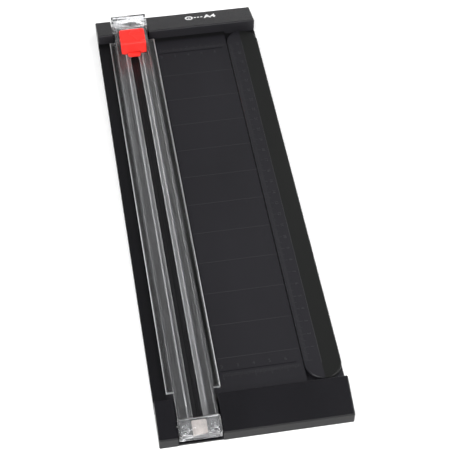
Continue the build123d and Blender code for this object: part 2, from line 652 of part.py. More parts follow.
def across_rail_disc(x_range, radius, bore):
    """A disc or tube on the blade's axis between two distances from the rail's middle."""
    with BuildSketch(Plane.YZ.offset(RAIL_X + x_range[0])) as ring:
        with Locations((HEAD_MID_Y, BLADE_Z)):
            Circle(radius)
            if bore > 0:
                Circle(bore, mode=Mode.SUBTRACT)
    extrude(ring.sketch, amount=x_range[1] - x_range[0])


def make_blade_axle():
    """Steel axle of the blade, pressed into the yoke's cheeks."""
    with BuildPart() as blade_axle:
        across_rail_disc((-AXLE_HALF, AXLE_HALF), AXLE_R, 0)
        chamfer(blade_axle.edges().filter_by(GeomType.CIRCLE), length=AXLE_CHAMFER)
    return blade_axle


def make_axle_clips():
    """Two retaining clips on the ends of the axle."""
    with BuildPart() as axle_clips:
        for x_range in (CLIP, (-CLIP[1], -CLIP[0])):
            across_rail_disc(x_range, CLIP_R, AXLE_R)
            mouth_x = (RAIL_X + x_range[0], RAIL_X + x_range[1])
            mouth_z = (BLADE_Z - 2 * CLIP_R, BLADE_Z)
            block(mouth_x, centred(HEAD_MID_Y, CLIP_MOUTH), mouth_z, Mode.SUBTRACT)
    return axle_clips


def make_rotary_blade():
    """Round steel blade with a ground edge."""
    half = BLADE_THICKNESS / 2
    bore = BLADE_Z + AXLE_R + RUNNING_FIT
    rim = BLADE_Z + BLADE_R
    section = [
        (RAIL_X - half, bore),
        (RAIL_X - half, rim - BLADE_BEVEL),
        (RAIL_X - BLADE_EDGE, rim),
        (RAIL_X + BLADE_EDGE, rim),
        (RAIL_X + half, rim - BLADE_BEVEL),
        (RAIL_X + half, bore),
    ]
    with BuildPart() as rotary_blade:
        with BuildSketch(Plane.XZ.offset(-HEAD_MID_Y)):
            with BuildLine():
                Polyline(*section, close=True)
            make_face()
        revolve(axis=Axis((RAIL_X, HEAD_MID_Y, BLADE_Z), (1, 0, 0)))
    return rotary_blade


def make_blade_hub():
    """Two nylon collars that keep the blade in the middle of the yoke."""
    bore = AXLE_R + RUNNING_FIT
    with BuildPart() as blade_hub:
        across_rail_disc((-HUB[1], -HUB[0]), HUB_R, bore)
        across_rail_disc(HUB, HUB_R, bore)
    return blade_hub


def make_swing_ruler():
    """Ruler with full-round ends and a pivot boss down through the shelf."""
    length = RULER_REAR_Y - RULER_FRONT_Y
    middle_y = (RULER_REAR_Y + RULER_FRONT_Y) / 2
    with BuildPart() as swing_ruler:
        with BuildSketch(Plane.XY.offset(RULER_BOTTOM)):
            with Locations((RULER_X, middle_y)):
                SlotCenterToCenter(length, 2 * RULER_HALF, rotation=90)
        extrude(amount=RULER_TOP - RULER_BOTTOM)
        chamfer(swing_ruler.edges().group_by(Axis.Z)[-1], length=RULER_CHAMFER)
        discs([(RULER_X, RULER_REAR_Y)], PIVOT_R, (PIVOT_BOTTOM, RULER_BOTTOM))
        hole_z = (PIVOT_BOTTOM, RULER_TOP - PIVOT_HOLE_END)
        discs([(RULER_X, RULER_REAR_Y)], PILOT_R, hole_z, Mode.SUBTRACT)
    return swing_ruler


def make_pivot_washer():
    """Washer that holds the ruler's boss in the shelf from below."""
    with BuildPart() as pivot_washer:
        with BuildSketch(Plane.XY.offset(PIVOT_BOTTOM - WASHER_THICKNESS)):
            with Locations((RULER_X, RULER_REAR_Y)):
                Circle(WASHER_R)
                Circle(WASHER_HOLE_R, mode=Mode.SUBTRACT)
        extrude(amount=WASHER_THICKNESS)
    return pivot_washer


def make_pivot_screw():
    """Screw up into the ruler's pivot boss."""
    seat = PIVOT_BOTTOM - WASHER_THICKNESS
    pivot = [(RULER_X, RULER_REAR_Y)]
    with BuildPart() as pivot_screw:
        discs(pivot, SCREW_HEAD_R, (seat - SCREW_HEAD_HEIGHT, seat))
        discs(pivot, SCREW_BODY_R, (seat, RULER_TOP - PIVOT_SCREW_END))
    return pivot_screw


def main():
    os.makedirs(PARTS_DIR, exist_ok=True)
    save(make_base_board(), "base_board")
    save(make_end_cap(-1), "front_end_cap")
    save(make_end_cap(1), "rear_end_cap")
    save(make_end_cap_screws(), "end_cap_screws")
    save(make_cutting_strip(), "cutting_strip")
    save(make_hinge_pin(), "hinge_pin")
    for end, y in (("front", -FOOT_Y), ("rear", FOOT_Y)):
        for hand, x in (("left", -FOOT_X), ("right", FOOT_X)):
            save(make_foot(x, y), f"foot_{end}_{hand}")
    save(make_guide_rail(), "guide_rail")
    save(make_front_housing(), "front_housing")
    save(make_rear_housing(), "rear_housing")
    save(make_lift_tab(), "lift_tab")
    save(make_housing_screws(), "housing_screws")
    save(make_grip_strip(-1), "grip_strip_left")
    save(make_grip_strip(1), "grip_strip_right")
    save(make_carriage(), "carriage")
    save(make_press_springs(), "press_springs")
    save(make_cutter_cap(), "cutter_cap")
    save(make_blade_holder(), "blade_holder")
    save(make_blade_axle(), "blade_axle")
    save(make_axle_clips(), "axle_clips")
    save(make_rotary_blade(), "rotary_blade")
    save(make_blade_hub(), "blade_hub")
    save(make_swing_ruler(), "swing_ruler")
    save(make_pivot_washer(), "pivot_washer")
    save(make_pivot_screw(), "pivot_screw")


main()
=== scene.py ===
"""Looks of the rotary paper trimmer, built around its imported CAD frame. Metres."""
import json
import math

import bmesh
import bpy
from mathutils import Matrix, Vector


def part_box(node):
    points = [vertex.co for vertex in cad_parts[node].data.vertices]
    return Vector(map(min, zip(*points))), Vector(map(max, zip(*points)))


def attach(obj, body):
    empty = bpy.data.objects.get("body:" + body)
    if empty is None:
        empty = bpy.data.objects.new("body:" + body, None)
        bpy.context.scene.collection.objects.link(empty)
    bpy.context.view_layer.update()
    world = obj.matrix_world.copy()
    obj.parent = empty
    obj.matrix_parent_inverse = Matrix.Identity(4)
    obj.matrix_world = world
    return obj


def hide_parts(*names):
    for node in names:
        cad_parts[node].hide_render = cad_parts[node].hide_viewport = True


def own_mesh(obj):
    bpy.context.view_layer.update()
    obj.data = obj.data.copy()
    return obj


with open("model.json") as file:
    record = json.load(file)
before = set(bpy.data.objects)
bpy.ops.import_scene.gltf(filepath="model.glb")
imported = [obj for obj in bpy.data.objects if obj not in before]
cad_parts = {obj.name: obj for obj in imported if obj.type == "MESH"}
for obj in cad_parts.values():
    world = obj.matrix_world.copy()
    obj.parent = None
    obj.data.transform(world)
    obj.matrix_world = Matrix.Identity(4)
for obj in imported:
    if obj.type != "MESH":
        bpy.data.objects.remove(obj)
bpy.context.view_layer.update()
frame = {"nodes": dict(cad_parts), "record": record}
nodes = frame["nodes"]
MM = 0.001
BODIES = frame["record"]["behaviour"]["bodies"]
BODY_OF = {node: body for body, members in BODIES.items() for node in members}
SLOT_OF = {part["node"]: part["material_slot"] for part in frame["record"]["subparts"]}


# ---------------------------------------------------------------- materials

PLASTIC_IOR = 1.41
ACRYLIC_IOR = 1.49
NOISE_SPREAD = (0.3, 0.7)
GRAIN_DEPTH = 0.06 * MM
DRAWN_DEPTH = 0.08 * MM
HANDLING_DEPTH = 0.2 * MM
FLOW_DEPTH = 0.4 * MM
STREAK_DEPTH = 0.03 * MM
ALONG_BOARD = (1.0, 0.35, 1.0)
ALONG_RAIL = (1.0, 0.006, 1.0)
ALONG_STEEL = (0.15, 1.0, 1.0)


def new_material(name):
    """An empty node material with its output and Principled shader."""
    material = bpy.data.materials.new(name)
    material.use_nodes = True
    tree = material.node_tree
    tree.nodes.clear()
    output = tree.nodes.new("ShaderNodeOutputMaterial")
    shader = tree.nodes.new("ShaderNodeBsdfPrincipled")
    tree.links.new(shader.outputs["BSDF"], output.inputs["Surface"])
    return material, tree, shader


def noise_node(tree, scale, detail, stretch=(1, 1, 1)):
    """Noise in object space, with cells of about 1 / scale metres."""
    coordinates = tree.nodes.new("ShaderNodeTexCoord")
    mapping = tree.nodes.new("ShaderNodeMapping")
    mapping.inputs["Scale"].default_value = stretch
    texture = tree.nodes.new("ShaderNodeTexNoise")
    texture.inputs["Scale"].default_value = scale
    texture.inputs["Detail"].default_value = detail
    tree.links.new(coordinates.outputs["Object"], mapping.inputs["Vector"])
    tree.links.new(mapping.outputs["Vector"], texture.inputs["Vector"])
    return texture


def colour_ramp(tree, source, stops):
    """Colours along a texture's value. stops are (position, (r, g, b)) pairs."""
    ramp = tree.nodes.new("ShaderNodeValToRGB")
    elements = ramp.color_ramp.elements
    while len(elements) < len(stops):
        elements.new(0.5)
    for element, (position, colour) in zip(elements, stops):
        element.position = position
        element.color = (*colour, 1.0)
    tree.links.new(source, ramp.inputs["Fac"])
    return ramp.outputs["Color"]


def mottle(tree, texture, dark, light):
    """A noise texture's usual spread as a blend of two colours."""
    return colour_ramp(tree, texture.outputs["Fac"], [(NOISE_SPREAD[0], dark), (NOISE_SPREAD[1], light)])


def map_range(tree, source, before, after=(0.0, 1.0)):
    """A value taken from one range to another, and held at its ends."""
    node = tree.nodes.new("ShaderNodeMapRange")
    node.inputs["From Min"].default_value = before[0]
    node.inputs["From Max"].default_value = before[1]
    node.inputs["To Min"].default_value = after[0]
    node.inputs["To Max"].default_value = after[1]
    tree.links.new(source, node.inputs["Value"])
    return node.outputs["Result"]


def value_range(tree, texture, low, high):
    """A noise texture's usual spread mapped to a range of values."""
    return map_range(tree, texture.outputs["Fac"], NOISE_SPREAD, (low, high))


def mix_colour(tree, factor, first, second):
    """Two colours mixed by a factor. Each colour is a socket or an (r, g, b) value."""
    node = tree.nodes.new("ShaderNodeMix")
    node.data_type = "RGBA"
    tree.links.new(factor, node.inputs["Factor"])
    for name, colour in (("A", first), ("B", second)):
        if isinstance(colour, tuple):
            node.inputs[name].default_value = (*colour, 1.0)
        else:
            tree.links.new(colour, node.inputs[name])
    return node.outputs["Result"]


def object_axes(tree):
    """The object-space X, Y and Z of the shaded point."""
    coordinates = tree.nodes.new("ShaderNodeTexCoord")
    axes = tree.nodes.new("ShaderNodeSeparateXYZ")
    tree.links.new(coordinates.outputs["Object"], axes.inputs["Vector"])
    return axes


def add_bump(tree, shader, layers):
    """Stacks bumps on the shader. layers are (noise texture, strength, distance in metres)."""
    normal = None
    for texture, strength, distance in layers:
        bump = tree.nodes.new("ShaderNodeBump")
        bump.inputs["Strength"].default_value = strength
        bump.inputs["Distance"].default_value = distance
        tree.links.new(texture.outputs["Fac"], bump.inputs["Height"])
        if normal is not None:
            tree.links.new(normal, bump.inputs["Normal"])
        normal = bump.outputs["Normal"]
    tree.links.new(normal, shader.inputs["Normal"])


def moulded_plastic(name, dark, light, rough, grain=2600.0, bump=0.25):
    """Moulded plastic: spark-eroded grain, faint flow marks and handling gloss."""
    material, tree, shader = new_material(name)
    flow = noise_node(tree, 26.0, 4.0, ALONG_BOARD)
    handling = noise_node(tree, 70.0, 5.0)
    fine = noise_node(tree, grain, 2.0)
    tree.links.new(mottle(tree, flow, dark, light), shader.inputs["Base Color"])
    tree.links.new(value_range(tree, handling, *rough), shader.inputs["Roughness"])
    shader.inputs["IOR"].default_value = PLASTIC_IOR
    add_bump(tree, shader, [(fine, bump, GRAIN_DEPTH), (handling, 0.06, HANDLING_DEPTH)])
    return material


def clear_plastic(name, veil, lines, rough):
    """Clear acrylic: faint drawn lines and a light milky veil, both uneven.

    veil is the mean share of milky white, lines the bump strength of the drawn lines.
    """
    material, tree, shader = new_material(name)
    drawn = noise_node(tree, 760.0, 2.0, ALONG_RAIL)
    haze = noise_node(tree, 60.0, 5.0)
    tint = mottle(tree, drawn, (0.90, 0.91, 0.93), (0.98, 0.985, 0.99))
    tree.links.new(tint, shader.inputs["Base Color"])
    tree.links.new(value_range(tree, haze, *rough), shader.inputs["Roughness"])
    clear = value_range(tree, drawn, 1.0 - veil * 1.9, 1.0 - veil * 0.1)
    tree.links.new(clear, shader.inputs["Transmission Weight"])
    shader.inputs["IOR"].default_value = ACRYLIC_IOR
    add_bump(tree, shader, [(drawn, lines, DRAWN_DEPTH), (haze, 0.015, HANDLING_DEPTH)])
    return material


def maths(tree, operation, first, second):
    """One math node. Each side is a socket or a number."""
    node = tree.nodes.new("ShaderNodeMath")
    node.operation = operation
    for socket, value in zip(node.inputs, (first, second)):
        if isinstance(value, float):
            socket.default_value = value
        else:
            tree.links.new(value, socket)
    return node.outputs["Value"]


INCH = 25.4 * MM
FIRST_LINE_Y = -133.3 * MM
LINE_HALF = 0.28 * MM
LINES_SPAN = (-140.0 * MM, 125.0 * MM)
LINES_LEFT = -16.6 * MM
DECK_SPLIT_X = -50.0 * MM
HEADER_FOOT = (157.0 * MM, 159.5 * MM)
# Lighter colour of the deck's raised cross lines
LIGHTER_LINE_TONE = (0.019, 0.0185, 0.021)
# Painted shade: near-black for the deck at the header's foot, where the header keeps the light out
PAINTED_SHADE_FOOT = (0.0015, 0.0015, 0.0018)


def inch_lines(tree, axes):
    """1 on the raised cross lines of the deck, which are coloured lighter than the deck."""
    y = axes.outputs["Y"]
    past_first = maths(tree, "SUBTRACT", y, FIRST_LINE_Y - 10 * INCH)
    on_line = maths(tree, "LESS_THAN", maths(tree, "PINGPONG", past_first, INCH / 2), LINE_HALF)
    after_start = maths(tree, "GREATER_THAN", y, LINES_SPAN[0])
    before_end = maths(tree, "LESS_THAN", y, LINES_SPAN[1])
    between = maths(tree, "MULTIPLY", after_start, before_end)
    right = maths(tree, "GREATER_THAN", axes.outputs["X"], LINES_LEFT)
    return maths(tree, "MULTIPLY", maths(tree, "MULTIPLY", on_line, between), right)


def split_surface(name, axis, split, blend, low, high, grain):
    """Nodes of a plastic with one colour and roughness below a coordinate and another above it, used for
    real finishes and for painted light and shade.

    low and high are ((dark), (light), roughness); grain is (cells per metre, bump strength).
    Returns the material, its tree, its shader and the colour socket.
    """
    material, tree, shader = new_material(name)
    side = map_range(tree, object_axes(tree).outputs[axis], (split - blend, split + blend))
    flow = noise_node(tree, 26.0, 4.0, ALONG_BOARD)
    fine = noise_node(tree, grain[0], 2.0)
    tone = mix_colour(tree, side, mottle(tree, flow, *low[:2]), mottle(tree, flow, *high[:2]))
    tree.links.new(map_range(tree, side, (0.0, 1.0), (low[2], high[2])), shader.inputs["Roughness"])
    shader.inputs["IOR"].default_value = PLASTIC_IOR
    add_bump(tree, shader, [(fine, grain[1], GRAIN_DEPTH), (flow, 0.05, FLOW_DEPTH)])
    return material, tree, shader, tone


def split_tone(*halves):
    """Plastic in two halves along a coordinate, with the arguments of the split function above."""
    material, tree, shader, tone = split_surface(*halves)
    tree.links.new(tone, shader.inputs["Base Color"])
    return material


def deck_plastic():
    """The board: smooth dark edge strip left of the rail, finely textured lighter deck right of it, and
    painted shade at the header's foot.
    """
    strip = ((0.0042, 0.0041, 0.0050), (0.0057, 0.0056, 0.0067), 0.30)
    deck = ((0.0070, 0.0066, 0.0088), (0.0095, 0.0090, 0.0118), 0.46)
    material, tree, shader, tone = split_surface(
        "deck_plastic", "X", DECK_SPLIT_X, 0.5 * MM, strip, deck, (2400.0, 0.25))
    axes = object_axes(tree)
    lined_tone = mix_colour(tree, inch_lines(tree, axes), tone, LIGHTER_LINE_TONE)
    # Painted shade: the deck turns near-black towards the header's foot
    shade_by_header = map_range(tree, axes.outputs["Y"], HEADER_FOOT)
    tree.links.new(mix_colour(tree, shade_by_header, lined_tone, PAINTED_SHADE_FOOT), shader.inputs["Base Color"])
    return material


def brushed_metal(name, colour, rough):
    """Turned or drawn steel: fine streaks and small stains."""
    material, tree, shader = new_material(name)
    streaks = noise_node(tree, 1800.0, 3.0, ALONG_STEEL)
    stains = noise_node(tree, 250.0, 4.0)
    darker = tuple(0.72 * channel for channel in colour)
    tone = colour_ramp(tree, stains.outputs["Fac"], [(0.3, darker), (0.65, colour)])
    tree.links.new(tone, shader.inputs["Base Color"])
    tree.links.new(value_range(tree, streaks, *rough), shader.inputs["Roughness"])
    shader.inputs["Metallic"].default_value = 1.0
    add_bump(tree, shader, [(streaks, 0.2, STREAK_DEPTH)])
    return material


def floor_material():
    """Pale seamless paper."""
    material, tree, shader = new_material("floor_paper")
    fibres = noise_node(tree, 180.0, 5.0)
    tone = mottle(tree, fibres, (0.90, 0.90, 0.90), (0.93, 0.93, 0.93))
    tree.links.new(tone, shader.inputs["Base Color"])
    shader.inputs["Roughness"].default_value = 0.9
    tree.links.new(tone, shader.inputs["Emission Color"])
    shader.inputs["Emission Strength"].default_value = 0.20
    return material


MATERIALS = {
    "black_plastic": moulded_plastic(
        "black_plastic", (0.0048, 0.0046, 0.0059), (0.0068, 0.0065, 0.0083), (0.22, 0.30)),
    "ruler_plastic": moulded_plastic(
        "ruler_plastic", (0.0060, 0.0057, 0.0070), (0.0084, 0.0080, 0.0098), (0.34, 0.44)),
    "strip_plastic": moulded_plastic(
        "strip_plastic", (0.004, 0.004, 0.005), (0.007, 0.007, 0.008), (0.45, 0.6), 900.0),
    "clear_plastic": clear_plastic("clear_plastic", 0.026, 0.02, (0.10, 0.17)),
    "red_plastic": moulded_plastic(
        "red_plastic", (0.83, 0.026, 0.021), (0.93, 0.038, 0.031), (0.20, 0.32), 1500.0, 0.05),
    "nylon": moulded_plastic("nylon", (0.72, 0.62, 0.56), (0.80, 0.71, 0.65), (0.38, 0.5), 1500.0, 0.1),
    "steel": brushed_metal("steel", (0.62, 0.62, 0.63), (0.2, 0.38)),
    "blade_steel": brushed_metal("blade_steel", (0.75, 0.75, 0.77), (0.1, 0.25)),
    "rubber": moulded_plastic(
        "rubber", (0.016, 0.016, 0.016), (0.026, 0.026, 0.026), (0.7, 0.85), 1400.0, 0.4),
}

# Halves of split plastics, real finishes and painted light and shade: dark colour, light colour,
# roughness
# Painted shade: the lift tab's front face, grey like the shade in a finger recess
PAINTED_SHADE_TAB = ((0.15, 0.15, 0.155), (0.20, 0.20, 0.205), 0.5)
TAB_BODY = ((0.58, 0.51, 0.47), (0.66, 0.59, 0.55), 0.42)
# Painted light: the header's inner face, the same black plastic painted lighter
PAINTED_LIGHT_INNER = ((0.0150, 0.0145, 0.0170), (0.0190, 0.0185, 0.0215), 0.42)
WEDGE_TOP = ((0.0048, 0.0046, 0.0059), (0.0068, 0.0065, 0.0083), 0.26)
# Painted shade: the footer's front face, the same black plastic painted darker
PAINTED_SHADE_FRONT = ((0.0030, 0.0030, 0.0036), (0.0042, 0.0042, 0.0050), 0.55)
RULER_BAND = ((0.0075, 0.0071, 0.0095), (0.0105, 0.0100, 0.0130), 0.44)
RULER_RIM = ((0.0052, 0.0055, 0.0052), (0.0072, 0.0076, 0.0072), 0.36)

# Where they change
TAB_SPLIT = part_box("lift_tab")[0].y + 0.3 * MM
HEADER_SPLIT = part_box("rear_end_cap")[0].y + 0.6 * MM
FRONT_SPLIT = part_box("front_end_cap")[0].y + 0.6 * MM
RULER_LINE = 10.75 * MM
RULER_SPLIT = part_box("swing_ruler")[0].x + RULER_LINE
CAP_GRAIN = (2600.0, 0.25)

DECK_PLASTIC = deck_plastic()
# Painted shade on the front face of the nylon lift tab
TAB_NYLON = split_tone("tab_nylon", "Y", TAB_SPLIT, 0.2 * MM, PAINTED_SHADE_TAB, TAB_BODY, (1500.0, 0.1))
# Painted light on the header's inner face; its sloped top keeps the plain black
HEADER_PLASTIC = split_tone("header_plastic", "Y", HEADER_SPLIT, 0.3 * MM, PAINTED_LIGHT_INNER, WEDGE_TOP, CAP_GRAIN)
# Painted shade on the footer's front face; its sloped top keeps the plain black
FOOTER_PLASTIC = split_tone("footer_plastic", "Y", FRONT_SPLIT, 0.3 * MM, PAINTED_SHADE_FRONT, WEDGE_TOP, CAP_GRAIN)
RULER_PLASTIC = split_tone(
    "ruler_bands", "X", RULER_SPLIT, 0.1 * MM, RULER_BAND, RULER_RIM, (1800.0, 0.3))
CUT_EDGE = clear_plastic("clear_plastic_cut", 0.35, 0.05, (0.3, 0.4))
# The slot's lips: a stronger milky veil, partly haze and partly painted highlight
LIP_HAZE_AND_HIGHLIGHT = clear_plastic("lip_haze_and_painted_highlight", 0.062, 0.02, (0.16, 0.24))
END_PLASTIC = clear_plastic("clear_plastic_ends", 0.060, 0.03, (0.05, 0.12))
MARK_GREY = moulded_plastic("mark_grey", (0.018, 0.018, 0.020), (0.030, 0.030, 0.033), (0.4, 0.55))
PRINT_WHITE = moulded_plastic(
    "print_white", (0.78, 0.78, 0.78), (0.86, 0.86, 0.86), (0.45, 0.6), 1500.0, 0.1)


def dress(obj, slot):
    """Gives an object the material of a record slot."""
    wear(obj, MATERIALS[slot])


def wear(obj, material):
    """Gives an object this material alone."""
    obj.data.materials.clear()
    obj.data.materials.append(material)


# ---------------------------------------------------------------- pieces

WELD = 2e-6
FLAT_ANGLE = math.radians(0.4)
EDGE_ANGLE = math.radians(32)
SHARP_ANGLE = math.radians(40)


def place(name, mesh, body, slot):
    """Links a new mesh piece, dresses it and lets it ride on a body."""
    piece = bpy.data.objects.new(name, mesh)
    bpy.context.scene.collection.objects.link(piece)
    dress(piece, slot)
    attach(piece, body)
    return piece


def apply_modifiers(obj):
    """Replaces an object's mesh by the result of its modifiers."""
    graph = bpy.context.evaluated_depsgraph_get()
    mesh = bpy.data.meshes.new_from_object(obj.evaluated_get(graph))
    obj.modifiers.clear()
    obj.data = mesh


def clean_copy(node):
    """A copy of a CAD node's mesh with its flat facets joined."""
    bm = bmesh.new()
    bm.from_mesh(nodes[node].data)
    bmesh.ops.remove_doubles(bm, verts=bm.verts, dist=WELD)
    bmesh.ops.dissolve_limit(bm, angle_limit=FLAT_ANGLE, verts=bm.verts, edges=bm.edges)
    mesh = bpy.data.meshes.new(node + "_soft")
    bm.to_mesh(mesh)
    bm.free()
    return mesh


def soften(node, width):
    """Stands for a CAD node with the same shape and rounded edges."""
    piece = place(node + "_soft", clean_copy(node), BODY_OF[node], SLOT_OF[node])
    bevel = piece.modifiers.new("round", "BEVEL")
    bevel.width = width
    bevel.segments = 2
    bevel.limit_method = "ANGLE"
    bevel.angle_limit = EDGE_ANGLE
    bevel.use_clamp_overlap = True
    bevel.harden_normals = True
    apply_modifiers(piece)
    piece.data.shade_smooth()
    piece.data.set_sharp_from_angle(angle=SHARP_ANGLE)
    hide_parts(node)
    return piece


def melt(node, voxel, rounds):
    """Stands for a CAD node with every edge melted round, as on a small moulding."""
    piece = place(node + "_soft", nodes[node].data.copy(), BODY_OF[node], SLOT_OF[node])
    remesh = piece.modifiers.new("voxels", "REMESH")
    remesh.mode = "VOXEL"
    remesh.voxel_size = voxel
    smooth = piece.modifiers.new("melt", "SMOOTH")
    smooth.factor = 0.5
    smooth.iterations = rounds
    apply_modifiers(piece)
    piece.data.shade_smooth()
    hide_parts(node)


for node_name, obj in nodes.items():
    dress(obj, SLOT_OF[node_name])

wear(nodes["base_board"], DECK_PLASTIC)
wear(nodes["rear_end_cap"], HEADER_PLASTIC)
wear(nodes["front_end_cap"], FOOTER_PLASTIC)
wear(nodes["swing_ruler"], RULER_PLASTIC)
wear(soften("front_housing", 0.25 * MM), END_PLASTIC)
wear(soften("rear_housing", 0.25 * MM), END_PLASTIC)
wear(soften("lift_tab", 0.3 * MM), TAB_NYLON)
soften("carriage", 0.2 * MM)
melt("cutter_cap", 0.24 * MM, 4)


def squeezed_springs():
    """The press springs, carried on the runner; this copy keeps its length when the head is pressed."""
    springs = place("press_springs_soft", nodes["press_springs"].data.copy(), "runner", "steel")
    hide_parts("press_springs")
    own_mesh(springs)


squeezed_springs()


# ---------------------------------------------------------------- guide rail

RAIL_X = (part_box("guide_rail")[0].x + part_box("guide_rail")[1].x) / 2
TRACK_Y = (-176.1 * MM, 173.3 * MM)
FLANGE_Y = (-154.5 * MM, 159.4 * MM)
TRACK_OUTER = 12.3 * MM
FLANGE_TOP = 11.0 * MM
STOP_LENGTH = 1.0 * MM
STOP_HALF = 3.2 * MM
STOP_Z = (10.7 * MM, 11.9 * MM)
TENON_X = (5.8 * MM, 10.4 * MM)
TENON_Z = (9.25 * MM, 10.15 * MM)
TENON_LENGTH = 6.5 * MM
INSET = 0.02 * MM
OUTER_EDGE = 16.3 * MM
LIP_OUTER = 6.5 * MM
LIP_BOTTOM = 11.2 * MM
SAWN_EDGE, HAZE_AND_HIGHLIGHT_LIP = 1, 2
# Half section from the slot outwards and back over the top: x from the middle, z and radius in mm
RAIL_SECTION = [
    (3.1, 10.6, 0.2), (5.6, 10.6, 0.1), (5.6, 9.2, 0.2), (16.7, 9.2, 0.4), (16.7, 11.5, 0.42),
    (15.8, 11.5, 0.42), (15.7, 11.0, 0.1), (12.3, 11.0, 0.3), (12.3, 14.0, 0.62), (10.9, 14.0, 0.62),
    (10.9, 11.0, 0.5), (9.75, 11.0, 0.1), (9.3, 11.5, 0.25), (8.85, 11.0, 0.1), (8.05, 11.0, 0.1),
    (7.6, 11.5, 0.25), (7.15, 11.0, 0.1), (6.4, 11.0, 0.25), (6.4, 12.2, 1.3), (3.1, 12.2, 1.5),
]


def rounded_ring(corners, steps):
    """Points round a closed outline of (x, z, radius) corners, each corner an arc."""
    ring = []
    for index, (x, z, radius) in enumerate(corners):
        here = Vector((x, z))
        before = Vector(corners[index - 1][:2]) - here
        after = Vector(corners[(index + 1) % len(corners)][:2]) - here
        half_angle = before.angle(after) / 2
        reach = min(radius / math.tan(half_angle), before.length * 0.48, after.length * 0.48)
        bend = reach * math.tan(half_angle)
        middle = (before.normalized() + after.normalized()).normalized()
        centre = here + middle * (bend / math.sin(half_angle))
        start = here + before.normalized() * reach - centre
        end = here + after.normalized() * reach - centre
        sweep = start.angle_signed(end)
        for step in range(steps + 1):
            turn = -sweep * step / steps
            spoke = Vector((start.x * math.cos(turn) - start.y * math.sin(turn),
                            start.x * math.sin(turn) + start.y * math.cos(turn)))
            ring.append((centre + spoke) * MM)
    return ring


def rail_side(bm, sign):
    """One half of the rail: its section drawn along the track, with the flange stopping short."""
    ring = rounded_ring(RAIL_SECTION, 4)
    winged = [(p.x, p.y) for p in ring]
    plain = [(x, z) if x <= TRACK_OUTER else (TRACK_OUTER, min(z, FLANGE_TOP)) for x, z in winged]
    stations = [
        (TRACK_Y[0], plain), (FLANGE_Y[0], plain), (FLANGE_Y[0], winged),
        (FLANGE_Y[1], winged), (FLANGE_Y[1], plain), (TRACK_Y[1], plain),
    ]
    rows = [[bm.verts.new((RAIL_X + sign * x, y, z)) for x, z in outline] for y, outline in stations]
    count = len(ring)
    for near, far in zip(rows, rows[1:]):
        for i in range(count):
            j = (i + 1) % count
            bm.faces.new((near[i], near[j], far[j], far[i]))
    bm.faces.new(rows[0])
    bm.faces.new(rows[-1])


def add_box(bm, low, high):
    """A closed box between two corners."""
    corners = [(x, y, z) for z in (low[2], high[2]) for y in (low[1], high[1]) for x in (low[0], high[0])]
    verts = [bm.verts.new(corner) for corner in corners]
    for face in ((0, 2, 3, 1), (4, 5, 7, 6), (0, 1, 5, 4), (2, 6, 7, 3), (0, 4, 6, 2), (1, 3, 7, 5)):
        bm.faces.new([verts[i] for i in face])


def guide_rail():
    """The clear extrusion with rounded lips, walls and beads, its end stops and tenons.

    The sawn ends and outer edges are frosted, and the slot's lips get a stronger milky veil, partly haze
    and partly painted highlight for their bright bands.
    """
    bm = bmesh.new()
    for sign in (-1, 1):
        rail_side(bm, sign)
    bmesh.ops.remove_doubles(bm, verts=bm.verts, dist=WELD)
    for y in (TRACK_Y[0], TRACK_Y[1] - STOP_LENGTH):
        front, rear = y + INSET, y + STOP_LENGTH - INSET
        add_box(bm, (RAIL_X - STOP_HALF, front, STOP_Z[0]), (RAIL_X + STOP_HALF, rear, STOP_Z[1]))
    for sign in (-1, 1):
        inner, outer = sorted(RAIL_X + sign * x for x in TENON_X)
        for y0, y1 in ((TRACK_Y[0] - TENON_LENGTH, TRACK_Y[0]), (TRACK_Y[1], TRACK_Y[1] + TENON_LENGTH)):
            add_box(bm, (inner, y0, TENON_Z[0]), (outer, y1, TENON_Z[1]))
    bmesh.ops.recalc_face_normals(bm, faces=bm.faces)
    mesh = bpy.data.meshes.new("guide_rail_drawn")
    bm.to_mesh(mesh)
    bm.free()
    piece = place("guide_rail_drawn", mesh, "rail", "clear_plastic")
    bevel = piece.modifiers.new("round", "BEVEL")
    bevel.width = 0.15 * MM
    bevel.segments = 2
    bevel.limit_method = "ANGLE"
    bevel.angle_limit = math.radians(50)
    apply_modifiers(piece)
    piece.data.shade_smooth()
    piece.data.set_sharp_from_angle(angle=math.radians(42))
    piece.data.materials.append(CUT_EDGE)
    piece.data.materials.append(LIP_HAZE_AND_HIGHLIGHT)
    for face in piece.data.polygons:
        from_middle = abs(face.center.x - RAIL_X)
        if abs(face.normal.y) > 0.5 or from_middle > OUTER_EDGE:
            face.material_index = SAWN_EDGE
        elif from_middle < LIP_OUTER and face.center.z > LIP_BOTTOM:
            face.material_index = HAZE_AND_HIGHLIGHT_LIP
    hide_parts("guide_rail")


guide_rail()


# ---------------------------------------------------------------- graduations

class Raised:
    """Collects small raised marks, each a closed prism, into one mesh."""

    def __init__(self, name, height):
        self.name = name
        self.height = height
        self.verts = []
        self.faces = []

    def outline(self, points, base):
        """One prism over a convex outline of x, y points, standing on z = base."""
        start = len(self.verts)
        count = len(points)
        sunk = base - 0.05 * MM
        self.verts += [(x, y, sunk) for x, y in points]
        self.verts += [(x, y, base + self.height) for x, y in points]
        self.faces.append([start + i for i in reversed(range(count))])
        self.faces.append([start + count + i for i in range(count)])
        for i in range(count):
            j = (i + 1) % count
            self.faces.append([start + i, start + j, start + count + j, start + count + i])

    def bar(self, x0, x1, y0, y1, base):
        """One prism over a rectangle."""
        self.outline([(x0, y0), (x1, y0), (x1, y1), (x0, y1)], base)

    def mesh(self):
        """The marks so far as a mesh."""
        mesh = bpy.data.meshes.new(self.name)
        mesh.from_pydata(self.verts, [], self.faces)
        mesh.update()
        return mesh


MARK_WELD = 1e-7


